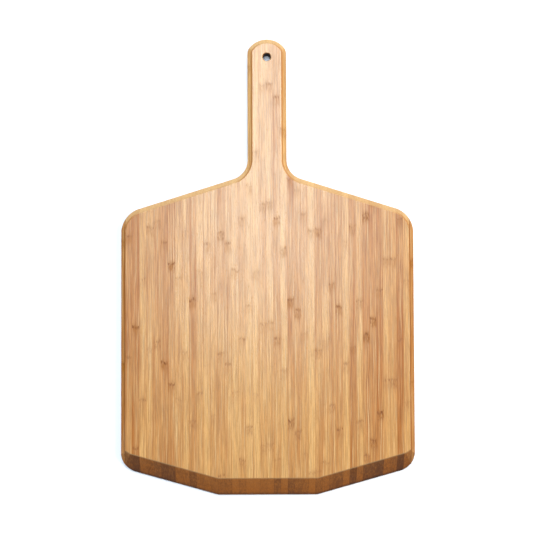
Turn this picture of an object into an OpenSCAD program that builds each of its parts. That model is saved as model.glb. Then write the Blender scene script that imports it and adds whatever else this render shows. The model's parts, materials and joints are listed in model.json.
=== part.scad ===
// Pizza peel: a flat board and handle in one plane, edge-glued from upright bamboo strips.
// It lies on its underside. The handle points along +Y, the loading edge along -Y, and +Z is up.
// The origin is the middle of the underside's bounding box. All sizes are in millimetres.

/* [Board] */
// Width of the board, across the strips
board_w = 355.6; // [345:0.1:365]
// Length from the loading edge to the end of the handle
peel_l = 555.5; // [520:0.5:600]
// Thickness of board and handle
peel_t = 12; // [10:0.5:16]
// Height of the side's lower corner above the loading edge
side_low_y = 33; // [25:1:45]
// Height of the side's upper corner above the loading edge
side_high_y = 341.3; // [310:0.1:350]
// Radius of the corner between the loading edge's slant and the side
front_corner_r = 24; // [15:1:30]
// Radius of the corner between the side and the shoulder
shoulder_corner_r = 31; // [20:1:36]

/* [Loading edge] */
// Width of the straight middle of the loading edge
front_flat_w = 120; // [90:1:150]
// How far the bevel reaches back from the loading edge
bevel_l = 22.8; // [14:0.1:26]
// Thickness left at the loading edge
front_t = 2.5; // [1.5:0.5:5]
// Turn of the small facet where the bevel begins to follow the corner, from the slant
facet_turn = 18; // [10:1:25]
// How far that facet reaches back from the corner
facet_l = 18.3; // [15:0.1:20]

/* [Handle] */
// Width of the handle
handle_w = 47.3; // [47:0.1:48]
// Height above the loading edge where the shoulder's line meets the handle's side
neck_y = 389.7; // [380:0.1:396]
// Radius of the inside curve between shoulder and handle
neck_r = 25; // [18:1:32]
// Radius of the handle end's crown
crown_r = 27; // [26:1:32]
// Radius of the two curves between the crown and the handle's sides
crown_corner_r = 12; // [10:1:14]
// Diameter of the hanging hole
hole_d = 9.5; // [8:0.5:11]
// Distance from the end of the handle to the middle of the hanging hole
hole_inset = 22.5; // [18:0.5:40]
// Size of the small bevel round each mouth of the hanging hole
hole_ease = 0.8; // [0.4:0.1:1.2]

/* [Shaped rim] */
// Width of the shaped rim along the upper edge
rim_w = 6; // [4:0.5:7]
// Width of the steep step at the rim's inner border
rim_step_w = 1.9; // [1:0.1:2.2]
// Drop of the steep step
rim_step_h = 1.5; // [0.8:0.1:2]
// Drop of the whole rim, at its outer border
rim_drop = 3.4; // [2.5:0.1:5]
// Size of the bevel along the lower edge
under_bevel = 1; // [0.5:0.1:1.5]

/* [Strips] */
// Number of strips glued side by side
strip_count = 43; // [43]
// Average width of the strips between the two edge strips
strip_w = 8.42; // [8.38:0.01:8.44]
// How far the middle joints lie to the right, because the strips on the left are a little wider
strip_bow = 2.8; // [2.7:0.1:3]

/* [Hidden] */
$fn = 96;
function strip_name(i) = str("strip_", i < 10 ? "0" : "", i);

// Cutting tools stand this far out of the surfaces that they cut
over = 1;
// The rough blank is this much larger than the finished outline
waste = 2;
// Cutting tools reach this far outwards, and past the ends of a straight side
reach = 15;
// A curve stands this far off the straight lines that it joins, so that it crosses them cleanly
cross = 0.04;

// The outline's corners on the right side, from the loading edge up to the handle
front_y = -peel_l / 2;
end_y = peel_l / 2;
front_point = [front_flat_w / 2, front_y];
low_corner = [board_w / 2, front_y + side_low_y];
high_corner = [board_w / 2, front_y + side_high_y];
neck_corner = [handle_w / 2, front_y + neck_y];
handle_corner = [handle_w / 2, end_y];
// Both shoulders' lines would meet here, inside the handle
shoulder_rise = (neck_corner.y - high_corner.y) / (high_corner.x - neck_corner.x);
shoulder_peak = [0, neck_corner.y + neck_corner.x * shoulder_rise];
// The handle's form starts this far below the shoulders, inside the board
handle_root = 75;
handle_root_y = high_corner.y - handle_root;
hole_y = end_y - hole_inset;

// Headings of the right side's slanted lines
function heading(v) = atan2(v.y, v.x);
slant = heading(low_corner - front_point);
shoulder = heading(neck_corner - high_corner);

// Centre of the curve of radius r that rounds the corner b between the points a and c
function unit(v) = v / norm(v);
function half_angle(a, b, c) = acos(unit(a - b) * unit(c - b)) / 2;
function arc_centre(a, b, c, r) = b + unit(unit(a - b) + unit(c - b)) * r / sin(half_angle(a, b, c));

// The handle's end is a crown between two smaller curves
crown_centre = [0, end_y - crown_r];
corner_x = handle_w / 2 - crown_corner_r;
corner_rise = sqrt(pow(crown_r - crown_corner_r + cross, 2) - pow(corner_x, 2));
corner_centre = crown_centre + [corner_x, corner_rise];
corner_sweep = heading([corner_x, corner_rise]);
// The crown is cut this many degrees past the line where the smaller curves take over
crown_overlap = 3;

// Width of the web that fills the inside corner between shoulder and handle
neck_web = neck_r;

// Cross-section of the board's edge: distance in from the outline, then height
EDGE = [
    [0, under_bevel],
    [0, peel_t - rim_drop],
    [rim_w - rim_step_w, peel_t - rim_step_h]
];
rim_top = [rim_w, peel_t];
rim_top_over = rim_top + over * [rim_step_w / rim_step_h, 1];

// The tool that cuts such an edge, and the edge as a body of its own
EDGE_TOOL = concat(
    [[under_bevel + over, -over]],
    EDGE,
    [rim_top_over, [-reach, peel_t + over], [-reach, -over]]
);
EDGE_BODY = concat(
    [[under_bevel, 0]],
    EDGE,
    [rim_top, [neck_web, peel_t], [neck_web, 0]]
);

// The tool for a bevel that is run wide and leaves the thickness edge_t at its outer border
function bevel_tool(run, edge_t) = [
    [0, -over],
    [0, edge_t],
    [run * (1 + over / (peel_t - edge_t)), peel_t + over],
    [-reach, peel_t + over],
    [-reach, -over]
];
slant_l = bevel_l * cos(slant);
// The facet slopes as much as the bevel does
facet_t = peel_t - facet_l * (peel_t - front_t) / slant_l;

// Joints between strips, counted from the left edge strip's inner side
inner_count = strip_count - 2;
function joint_x(k) =
    let (share = k / inner_count)
    (k - inner_count / 2) * strip_w + 4 * strip_bow * share * (1 - share);
function strip_left(i) = i == 1 ? -board_w / 2 - over : joint_x(i - 2);
function strip_right(i) = i == strip_count ? board_w / 2 + over : joint_x(i - 1);

// Pale, honey and tan strips follow one another unevenly
TONES = ["#e6cb9c", "#dcb985", "#cfa670"];
function strip_tone(i) = TONES[(i * i + 2 * i) % 5 % 3];

// Cuts along the straight line from a to b, with the board on the left of the way
module straight_cut(a, b, tool) {
    start = a - reach * unit(b - a);
    translate([start.x, start.y, 0])
        rotate([90, 0, heading(b - a) + 90])
            linear_extrude(norm(b - a) + 2 * reach)
                polygon(tool);
}

// Cuts round an outer corner of radius r, from angle a0 through sweep degrees
module round_cut(centre, r, a0, sweep, tool) {
    translate([centre.x, centre.y, 0])
        rotate([0, 0, a0])
            rotate_extrude(angle = sweep)
                polygon([for (p = tool) [r + cross - p.x, p.y]]);
}

// Cuts one side of the board, from the loading edge's middle to the shoulder
module board_side_cuts() {
    straight_cut(front_point, low_corner, bevel_tool(slant_l, front_t));
    low_centre = arc_centre(front_point, low_corner, high_corner, front_corner_r);
    facet_way = slant + facet_turn;
    facet_mid = low_centre + (front_corner_r + cross) * [sin(facet_way), -cos(facet_way)];
    facet_half = front_corner_r / 2 * [cos(facet_way), sin(facet_way)];
    straight_cut(facet_mid - facet_half, facet_mid + facet_half, bevel_tool(facet_l, facet_t));
    round_cut(low_centre, front_corner_r, slant - 90, 90 - slant, EDGE_TOOL);
    straight_cut(low_corner, high_corner, EDGE_TOOL);
    high_centre = arc_centre(low_corner, high_corner, neck_corner, shoulder_corner_r);
    round_cut(high_centre, shoulder_corner_r, 0, shoulder - 90, EDGE_TOOL);
    straight_cut(high_corner, shoulder_peak, EDGE_TOOL);
}

// The board with its bevelled loading edge, as if it had no handle
module board_form() {
    right = [
        front_point + waste * [1, -1], low_corner + waste * [1, -1],
        high_corner + waste * [1, 1], shoulder_peak + waste * [0, 1]
    ];
    left = [for (k = [2:-1:0]) [-right[k].x, right[k].y]];
    difference() {
        linear_extrude(peel_t) polygon(concat(right, left));
        straight_cut([-front_point.x, front_y], front_point, bevel_tool(bevel_l, front_t));
        board_side_cuts();
        mirror([1, 0, 0]) board_side_cuts();
    }
}

// Cuts one side of the handle and the small curve at its end
module handle_side_cuts() {
    straight_cut([handle_corner.x, handle_root_y], handle_corner, EDGE_TOOL);
    round_cut(corner_centre, crown_corner_r, 0, corner_sweep, EDGE_TOOL);
}

// The handle with its rounded end, starting inside the board
module handle_form() {
    crown_from = corner_sweep - crown_overlap;
    difference() {
        translate([-handle_w / 2 - waste, handle_root_y, 0])
            cube([handle_w + 2 * waste, end_y + waste - handle_root_y, peel_t]);
        handle_side_cuts();
        mirror([1, 0, 0]) handle_side_cuts();
        round_cut(crown_centre, crown_r - cross, crown_from, 180 - 2 * crown_from, EDGE_TOOL);
    }
}

// The web that fills the inside corner between the right shoulder and the handle
module neck_form() {
    centre = arc_centre(high_corner, neck_corner, handle_corner, neck_r);
    translate([centre.x, centre.y, 0])
        rotate([0, 0, 180])
            rotate_extrude(angle = shoulder - 90)
                polygon([for (p = EDGE_BODY) [neck_r + cross + p.x, p.y]]);
}

// The hanging hole, opened a little at both mouths
module hanging_hole() {
    hole_r = hole_d / 2;
    translate([0, hole_y, peel_t / 2]) {
        cylinder(h = peel_t + 2 * over, r = hole_r, center = true);
        for (side = [0, 1])
            mirror([0, 0, side])
                translate([0, 0, peel_t / 2 - hole_ease - over])
                    cylinder(h = hole_ease + 2 * over, r1 = hole_r - over, r2 = hole_r + hole_ease + over);
    }
}

// The whole finished peel, before it is told apart into its strips
module peel_form() {
    difference() {
        union() {
            board_form();
            handle_form();
            neck_form();
            mirror([1, 0, 0]) neck_form();
        }
        hanging_hole();
    }
}

// One upright bamboo strip, as long as the peel is where the strip lies
module strip(i) {
    color(strip_tone(i))
        intersection() {
            peel_form();
            translate([strip_left(i), front_y - over, -over])
                cube([strip_right(i) - strip_left(i), peel_l + 2 * over, peel_t + 2 * over]);
        }
}

for (i = [1:strip_count])
    strip(i);
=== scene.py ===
"""Looks for the bamboo pizza peel: bamboo on the CAD strips, a pale floor, soft light and a camera."""

import json
import math
import random

import bpy
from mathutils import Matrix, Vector


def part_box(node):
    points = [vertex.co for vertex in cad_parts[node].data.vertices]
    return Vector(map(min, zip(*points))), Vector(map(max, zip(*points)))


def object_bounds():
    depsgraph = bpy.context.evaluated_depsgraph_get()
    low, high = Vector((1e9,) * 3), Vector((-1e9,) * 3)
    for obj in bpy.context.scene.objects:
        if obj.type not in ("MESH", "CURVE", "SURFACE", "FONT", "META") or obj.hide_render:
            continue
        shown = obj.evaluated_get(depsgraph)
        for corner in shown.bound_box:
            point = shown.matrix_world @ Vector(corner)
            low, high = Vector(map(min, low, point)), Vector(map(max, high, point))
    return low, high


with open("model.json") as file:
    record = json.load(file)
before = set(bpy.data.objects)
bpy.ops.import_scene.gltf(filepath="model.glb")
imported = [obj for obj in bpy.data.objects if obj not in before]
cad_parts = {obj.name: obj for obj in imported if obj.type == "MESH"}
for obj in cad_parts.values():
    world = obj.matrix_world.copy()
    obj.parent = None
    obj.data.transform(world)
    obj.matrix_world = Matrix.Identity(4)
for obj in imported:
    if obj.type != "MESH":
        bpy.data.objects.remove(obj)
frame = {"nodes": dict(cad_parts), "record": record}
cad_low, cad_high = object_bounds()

# The part's own places, in metres
STRIPS = sorted(frame["nodes"])
FRONT_Y = cad_low.y
TOP_Z = cad_high.z
HOLE = next(m for m in frame["record"]["mounts"] if m["name"] == "hanging_hole")
HOLE_X, HOLE_Y = HOLE["pos_m"][:2]
HOLE_R = HOLE["dims"]["r_mm"] / 1000

# Strips are picked at random, but paler ones for the middle: 0 is the darkest tone, 1 the palest
SEED = 4
MIDDLE_TONE = 0.72
SIDE_TONE = 0.36
TONE_SPREAD = 0.24
KNUCKLE_SPACING = 0.146
KNUCKLE_HEIGHT = 0.0075
# How far the grain, and the line of a knuckle, stray from straight
GRAIN_WANDER = 0.0006
KNUCKLE_WAVER = 0.0016
# How wide the finest fibres and the glue lines are
FIBRE_WIDTH = 0.0009
GLUE_WIDTH = 0.00045
# How far each strip's grain is moved along, so that it doesn't run on from its neighbour's
GRAIN_SHIFT = 1.37
# The two edge strips' cut ends stay paler than the others
EDGE_SOAK = 0.45
# The bevel's lowest border is darkest up to the first height, and no darker than the rest at the second
TIP_DARK_TO = 0.0026
TIP_FADED_AT = 0.0044
# How far below the upper face the painted highlight along the bevel's upper edge reaches
CREST_HIGHLIGHT_DEPTH = 0.0008
# How far from the hanging hole's wall the drill's burn and the painted shade of the deep hole reach
BURN_AND_SHADE_REACH = 0.001

# Bamboo's colours, with the painted shades of its rim and its hole, as linear red, green and blue
DARK_STRIP = (0.34, 0.103, 0.007)
PALE_STRIP = (0.62, 0.340, 0.115)
CREAM = (0.65, 0.42, 0.19)
HONEY = (0.33, 0.112, 0.008)
KNUCKLE_BROWN = (0.19, 0.052, 0.001)
STEP_SHADE_BROWN = (0.40, 0.12, 0.004)
RIM_SHADE = (0.10, 0.025, 0.001)
SOAKED_DARK = (0.080, 0.019, 0.0)
SOAKED_PALE = (0.26, 0.069, 0.0)
HOLE_BURN_AND_SHADE = (0.02, 0.006, 0.002)

# The camera looks almost straight down, from a point a little left of and below the peel's middle
CAMERA_PLACE = Vector((-0.0033, -0.0188, 0.879))
CAMERA_TURN = (math.radians(1.216), math.radians(-0.138), math.radians(-0.2))
CAMERA_LENS = 48.33

# The floor is wide enough to reach the horizon, and lies a hair below the peel
FLOOR_SIZE = 30
FLOOR_GAP = 0.0002


class Recipe:
    """Short names for the few kinds of shader node that the materials are made of."""

    def __init__(self, name):
        self.material = bpy.data.materials.new(name)
        self.material.use_nodes = True
        self.tree = self.material.node_tree
        self.shader = self.tree.nodes["Principled BSDF"]

    def add(self, kind, **settings):
        node = self.tree.nodes.new(kind)
        for name, value in settings.items():
            setattr(node, name, value)
        return node

    def feed(self, socket, value):
        """Links the socket to another node's output, or gives it a plain value."""
        if isinstance(value, bpy.types.NodeSocket):
            self.tree.links.new(value, socket)
        else:
            socket.default_value = value

    def math(self, operation, *values):
        node = self.add("ShaderNodeMath", operation=operation)
        for socket, value in zip(node.inputs, values):
            self.feed(socket, value)
        return node.outputs[0]

    def scaled(self, value, factor):
        return self.math("MULTIPLY", value, factor)

    def plus(self, value, other):
        return self.math("ADD", value, other)

    def size_of(self, value):
        return self.math("ABSOLUTE", value)

    def fade(self, value, none, full, low=0.0, high=1.0):
        """Runs smoothly from low where value is none to high where it is full."""
        node = self.add("ShaderNodeMapRange", interpolation_type="SMOOTHSTEP")
        for socket, number in zip(node.inputs, (value, none, full, low, high)):
            self.feed(socket, number)
        return node.outputs[0]

    def mix(self, share, first, second):
        node = self.add("ShaderNodeMix", data_type="RGBA")
        self.feed(node.inputs[0], share)
        for socket, colour in ((node.inputs[6], first), (node.inputs[7], second)):
            is_plain = isinstance(colour, tuple)
            self.feed(socket, (*colour, 1) if is_plain else colour)
        return node.outputs[2]

    def shade(self, colour, brightness):
        """The colour, made darker or lighter by the factor brightness."""
        node = self.add("ShaderNodeVectorMath", operation="SCALE")
        self.feed(node.inputs[0], colour)
        self.feed(node.inputs["Scale"], brightness)
        return node.outputs[0]

    def own(self, name):
        """A number that each object carries under that name."""
        node = self.add("ShaderNodeAttribute", attribute_type="OBJECT", attribute_name=name)
        return node.outputs["Fac"]

    def parts_of(self, vector):
        node = self.add("ShaderNodeSeparateXYZ")
        self.feed(node.inputs[0], vector)
        return node.outputs

    def point(self, x, y, z):
        node = self.add("ShaderNodeCombineXYZ")
        for socket, value in zip(node.inputs, (x, y, z)):
            self.feed(socket, value)
        return node.outputs[0]

    def noise(self, place, across, along, detail=2.0, roughness=0.5):
        """Cloudy noise from 0 to 1 whose grains are across by along metres large."""
        stretch = self.add("ShaderNodeVectorMath", operation="MULTIPLY")
        self.feed(stretch.inputs[0], place)
        stretch.inputs[1].default_value = (1 / across, 1 / along, 1 / across)
        node = self.add("ShaderNodeTexNoise")
        self.feed(node.inputs["Vector"], stretch.outputs[0])
        node.inputs["Scale"].default_value = 1
        node.inputs["Detail"].default_value = detail
        node.inputs["Roughness"].default_value = roughness
        return node.outputs["Fac"]

    def chance(self, x, y):
        """A random number from 0 to 1 for each pair of numbers."""
        node = self.add("ShaderNodeTexWhiteNoise", noise_dimensions="2D")
        self.feed(node.inputs["Vector"], self.point(x, y, 0.0))
        return node.outputs["Value"]


def knuckles(r, x, y, shift, place):
    """The dark marks and the tinted zones where the bamboo's joints crossed the strips."""
    steps = r.scaled(r.math("SUBTRACT", y, FRONT_Y), 1 / KNUCKLE_SPACING)
    steps = r.plus(r.math("SUBTRACT", steps, r.own("knuckle")), 0.5)
    count = r.math("FLOOR", steps)
    off = r.scaled(r.math("SUBTRACT", r.math("FRACT", steps), 0.5), KNUCKLE_SPACING)
    luck = r.chance(shift, count)
    other_luck = r.chance(count, shift)

    # The mark slopes and wavers a little across the strip
    waver = r.noise(r.point(x, count, shift), 0.006, 0.9, detail=2)
    off = r.plus(off, r.fade(waver, 0.25, 0.75, -KNUCKLE_WAVER, KNUCKLE_WAVER))

    # It is a thin line with short dark flecks on it and below it
    middle = r.size_of(r.plus(off, KNUCKLE_HEIGHT / 2))
    flecks = r.fade(r.noise(place, 0.0010, 0.0050, detail=2), 0.45, 0.62)
    near = r.fade(r.size_of(off), 0.0030, 0.0006)
    far = r.fade(middle, 1.2 * KNUCKLE_HEIGHT, 0.3 * KNUCKLE_HEIGHT, 0, 0.6)
    dark = r.scaled(flecks, r.math("MAXIMUM", near, r.scaled(far, r.fade(luck, 0.2, 0.8))))
    thin = r.scaled(r.fade(r.size_of(off), 0.0009, 0.0002), 0.3)
    strength = r.fade(other_luck, 0.0, 0.7, 0.4, 1.0)
    # Dark strips have the darker marks
    strength = r.scaled(strength, r.fade(r.own("tone"), 0.2, 0.7, 1.5, 0.55))
    line = r.scaled(r.math("MAXIMUM", dark, thin), strength)

    # The wood round it is tinted, and darker streaks hang below it
    zone = r.fade(middle, 1.5 * KNUCKLE_HEIGHT, 0.2 * KNUCKLE_HEIGHT)
    zone = r.scaled(zone, r.fade(r.noise(place, 0.0018, 0.009, detail=2), 0.35, 0.65, 0.25, 1.0))
    below = r.scaled(r.fade(off, -0.022, -0.002), r.fade(off, 0.001, -0.001))
    hanging = r.scaled(below, r.fade(r.noise(place, 0.0012, 0.03), 0.5, 0.68))
    zone = r.scaled(r.math("MAXIMUM", zone, hanging), strength)
    return line, zone


def grain(r, place, streaks):
    """Bare bamboo with its streaks, fibres and pores: its colour, its tone and its relief."""
    # Strips differ in tone, and each has broad streaks and clouds
    clouds = r.noise(place, 0.012, 0.11, detail=2)
    tone = r.plus(r.own("tone"), r.fade(clouds, 0.25, 0.75, -0.16, 0.16))
    tone = r.plus(tone, r.fade(streaks, 0.3, 0.7, -0.2, 0.2))
    colour = r.mix(tone, DARK_STRIP, PALE_STRIP)
    cream_lines = r.fade(r.noise(place, FIBRE_WIDTH, 0.09, detail=2), 0.54, 0.70, 0, 0.6)
    colour = r.mix(cream_lines, colour, CREAM)
    honey_lines = r.fade(r.noise(place, FIBRE_WIDTH, 0.10, detail=2), 0.44, 0.3, 0, 0.45)
    colour = r.mix(honey_lines, colour, HONEY)

    # Fine fibres and short dark pores
    fibres = r.noise(place, FIBRE_WIDTH, 0.022, detail=3, roughness=0.65)
    colour = r.shade(colour, r.fade(fibres, 0.28, 0.72, 0.78, 1.18))
    pores = r.fade(r.noise(place, 0.0005, 0.0045, detail=1), 0.64, 0.76)
    colour = r.mix(r.scaled(pores, 0.45), colour, HONEY)
    relief = r.plus(r.scaled(fibres, 0.6), r.scaled(pores, -0.5))
    return colour, tone, relief


def glue_lines(r, across, place):
    """Thin glue lines along the strip's two joints, plainer here than there."""
    to_joint = r.math("DIVIDE", r.math("SUBTRACT", 1.0, r.size_of(across)), r.own("per_half_width"))
    glue = r.fade(to_joint, GLUE_WIDTH, 0.0001)
    return r.scaled(glue, r.fade(r.noise(place, 0.004, 0.05), 0.35, 0.65, 0.15, 0.75))


def shaped_rim(r, colour, slope, across, face):
    """Paints shade onto the shaped rim, most of all onto its steep step and the crease at the edge strips'
    joints, and paints light onto the rims that face the handle's end.
    """
    face_x, face_y, face_z = face
    # Painted shade: every slope is tinted a little darker than the flat face
    colour = r.mix(r.scaled(slope, 0.1), colour, HONEY)
    # Painted light: the rims of the shoulders and of the handle's end, which face the light, are paler
    painted_light_rim = r.scaled(slope, r.fade(face_y, 0.1, 0.3))
    colour = r.mix(r.scaled(painted_light_rim, 0.5), colour, CREAM)
    # Painted shade on the steep step, darkest where the step faces sideways
    steep = r.fade(face_z, 0.87, 0.82)
    sideways = r.fade(r.size_of(face_x), 0.1, 0.5)
    colour = r.mix(r.scaled(r.scaled(steep, sideways), 0.6), colour, STEP_SHADE_BROWN)
    # Painted shade darkens the crease along the edge strips' inner joints, which lie in that step
    seam = r.scaled(r.fade(r.scaled(across, r.own("seam")), 0.6, 0.9), slope)
    return r.mix(r.scaled(seam, 0.8), colour, RIM_SHADE)


def soaked_ends(r, colour, place, z, face_y, streaks, marks):
    """Darkens the cut ends along the loading edge, which drank most of the oil, and paints a highlight
    along the bevel's upper edge.
    """
    loading_edge = r.fade(face_y, -0.15, -0.4)
    ends_tone = r.plus(r.own("tone"), r.fade(streaks, 0.3, 0.7, -0.15, 0.15))
    soaked = r.mix(r.fade(ends_tone, 0.1, 0.9), SOAKED_DARK, SOAKED_PALE)
    speckle = r.noise(place, 0.0007, 0.0012, detail=2)
    soaked = r.shade(soaked, r.fade(speckle, 0.3, 0.7, 0.75, 1.25))
    soaked = r.shade(soaked, r.fade(z, TIP_DARK_TO, TIP_FADED_AT, 0.45, 1.0))
    soaked = r.mix(r.scaled(marks, 0.6), soaked, SOAKED_DARK)
    soak = r.scaled(r.fade(z, 0.0, TOP_Z, 1.0, 0.9), r.own("soak"))
    soak = r.scaled(soak, loading_edge)
    colour = r.mix(soak, colour, soaked)

    # A painted highlight pales the bevel's upper edge
    crest_highlight = r.scaled(loading_edge, r.fade(z, TOP_Z - CREST_HIGHLIGHT_DEPTH, TOP_Z - 0.0001))
    return r.mix(r.scaled(crest_highlight, 0.35), colour, CREAM)


def hole_distance(r, x, y):
    """How far a point is from the hanging hole's middle line."""
    dx = r.math("POWER", r.math("SUBTRACT", x, HOLE_X), 2.0)
    dy = r.math("POWER", r.math("SUBTRACT", y, HOLE_Y), 2.0)
    return r.math("SQRT", r.plus(dx, dy))


def burnt_and_shaded_hole(r, colour, x, y, face_z):
    """Blackens the hanging hole's wall with the drill's burn and with painted shade, as falls deep in the
    hole.
    """
    near = r.fade(hole_distance(r, x, y), HOLE_R + BURN_AND_SHADE_REACH, HOLE_R + 0.4 * BURN_AND_SHADE_REACH)
    burn_and_shade = r.scaled(near, r.fade(face_z, 0.9, 0.3))
    return r.mix(burn_and_shade, colour, HOLE_BURN_AND_SHADE)


def roughness(r, place, tone, slope, marks):
    """Dark strips, knuckles and the cut rim are more porous, and so duller."""
    rough = r.fade(r.noise(place, 0.003, 0.04, detail=3), 0.3, 0.7, -0.02, 0.02)
    rough = r.plus(rough, r.fade(tone, 0.1, 0.9, 0.35, 0.27))
    rough = r.plus(rough, r.scaled(marks, 0.14))
    return r.plus(rough, r.scaled(slope, 0.4))


def bamboo():
    """Upright bamboo strips, from their grain to what the cutter, the oil and the drill did to them, with
    painted light and shade on the rim, the bevel's upper edge and the hole.
    """
    r = Recipe("bamboo")
    x, y, z = r.parts_of(r.add("ShaderNodeTexCoord").outputs["Object"])
    face = r.parts_of(r.add("ShaderNodeNewGeometry").outputs["Normal"])
    face_y, face_z = face[1], face[2]
    shift = r.own("shift")

    # Every strip has its own stretch of grain, which wanders a little sideways
    wander = r.noise(r.point(shift, y, 0.0), 1.0, 0.06, detail=1)
    grain_x = r.plus(x, r.fade(wander, 0.2, 0.8, -GRAIN_WANDER, GRAIN_WANDER))
    place = r.point(grain_x, r.plus(y, shift), z)
    streaks = r.noise(place, 0.0016, 0.14, detail=3, roughness=0.6)
    # From -1 at the strip's left side to 1 at its right side
    across = r.scaled(r.math("SUBTRACT", x, r.own("middle")), r.own("per_half_width"))
    # 0 on the flat upper face, 1 on the rim, the bevels, the sides and the underside
    slope = r.fade(face_z, 0.99, 0.93)

    colour, tone, relief = grain(r, place, streaks)
    line, zone = knuckles(r, x, y, shift, place)
    colour = r.mix(r.scaled(zone, 0.65), colour, HONEY)
    colour = r.mix(r.scaled(line, 0.9), colour, KNUCKLE_BROWN)
    glue = glue_lines(r, across, place)
    colour = r.mix(glue, colour, HONEY)
    colour = shaped_rim(r, colour, slope, across, face)
    colour = soaked_ends(r, colour, place, z, face_y, streaks, r.plus(glue, line))
    colour = burnt_and_shaded_hole(r, colour, x, y, face_z)
    r.feed(r.shader.inputs["Base Color"], colour)
    r.feed(r.shader.inputs["Roughness"], roughness(r, place, tone, slope, r.plus(zone, line)))
    r.shader.inputs["IOR"].default_value = 1.47

    bump = r.add("ShaderNodeBump")
    bump.inputs["Strength"].default_value = 0.5
    bump.inputs["Distance"].default_value = 0.00012
    r.feed(bump.inputs["Height"], r.plus(relief, r.scaled(line, -0.8)))
    r.feed(r.shader.inputs["Normal"], bump.outputs[0])
    return r.material


def dress_strips(material):
    """Gives every strip the bamboo and the numbers that set it apart from its neighbours."""
    draw = random.Random(SEED)
    last = len(STRIPS) - 1
    for i, name in enumerate(STRIPS):
        strip = frame["nodes"][name]
        low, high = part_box(name)
        from_middle = abs(2 * i / last - 1)
        usual_tone = MIDDLE_TONE + (SIDE_TONE - MIDDLE_TONE) * from_middle
        strip["tone"] = usual_tone + draw.uniform(-TONE_SPREAD, TONE_SPREAD)
        strip["knuckle"] = draw.random()
        strip["shift"] = i * GRAIN_SHIFT
        strip["middle"] = (low[0] + high[0]) / 2
        strip["per_half_width"] = 2 / (high[0] - low[0])
        strip["soak"] = EDGE_SOAK if i in (0, last) else 1.0
        # Which side of an edge strip gets the painted crease shade: 1 the right, -1 the left, 0 none
        strip["seam"] = {0: 1.0, last: -1.0}.get(i, 0.0)
        for slot in strip.material_slots:
            slot.material = material


def white_floor():
    """A plain pale table under the peel."""
    r = Recipe("table")
    cloud = r.noise(r.add("ShaderNodeTexCoord").outputs["Object"], 0.4, 0.4)
    r.feed(r.shader.inputs["Base Color"], r.mix(cloud, (0.88, 0.88, 0.88), (0.89, 0.89, 0.89)))
    r.shader.inputs["Roughness"].default_value = 0.9
    bpy.ops.mesh.primitive_plane_add(size=FLOOR_SIZE, location=(0, 0, cad_low.z - FLOOR_GAP))
    floor = bpy.context.object
    floor.name = "table"
    floor.data.materials.append(r.material)


def aim(thing, place, target):
    thing.location = place
    thing.rotation_euler = (Vector(target) - Vector(place)).to_track_quat("-Z", "Y").to_euler()


def soft_box(name, place, width, length, radiance, colour):
    """A soft light of width by length metres, aimed at the middle of the peel."""
    data = bpy.data.lights.new(name, "AREA")
    data.shape = "RECTANGLE"
    data.size = width
    data.size_y = length
    data.energy = radiance * math.pi * width * length
    data.color = colour
    light = bpy.data.objects.new(name, data)
    bpy.context.collection.objects.link(light)
    aim(light, place, (0, 0, 0))


def light_studio():
    """A long soft light from overhead to beyond the handle, a warm one on the right, and a cool sky."""
    soft_box("overhead", (0.04, 1.35, 3.0), width=1.2, length=3.66, radiance=10, colour=(0.84, 0.97, 1.14))
    soft_box("side", (1.9, 0.3, 1.7), width=1.1, length=1.1, radiance=9, colour=(1.0, 0.86, 0.66))
    world = bpy.data.worlds.new("studio")
    bpy.context.scene.world = world
    world.use_nodes = True
    tree = world.node_tree
    glow = tree.nodes["Background"]
    glow.inputs["Color"].default_value = (0.86, 0.93, 1.0, 1)
    way = tree.nodes.new("ShaderNodeTexCoord")
    height = tree.nodes.new("ShaderNodeSeparateXYZ")
    tree.links.new(way.outputs["Generated"], height.inputs[0])
    # The sky is dim at the horizon and bright overhead, but the camera sees it pale all over
    sky = tree.nodes.new("ShaderNodeMapRange")
    sky.inputs["To Min"].default_value = 0.1
    sky.inputs["To Max"].default_value = 0.4
    tree.links.new(height.outputs["Z"], sky.inputs["Value"])
    ray = tree.nodes.new("ShaderNodeLightPath")
    seen = tree.nodes.new("ShaderNodeMix")
    seen.inputs["B"].default_value = 1
    tree.links.new(ray.outputs["Is Camera Ray"], seen.inputs["Factor"])
    tree.links.new(sky.outputs[0], seen.inputs["A"])
    tree.links.new(seen.outputs[0], glow.inputs["Strength"])


def place_camera():
    """A camera almost straight above the middle of the peel."""
    middle = (cad_low + cad_high) / 2
    data = bpy.data.cameras.new("camera")
    data.lens = CAMERA_LENS
    data.clip_start = 0.01
    camera = bpy.data.objects.new("camera", data)
    bpy.context.collection.objects.link(camera)
    camera.location = Vector((middle.x, middle.y, 0)) + CAMERA_PLACE
    camera.rotation_euler = CAMERA_TURN
    bpy.context.scene.camera = camera


dress_strips(bamboo())
white_floor()
light_studio()
place_camera()
bpy.context.scene.view_settings.view_transform = "Standard"
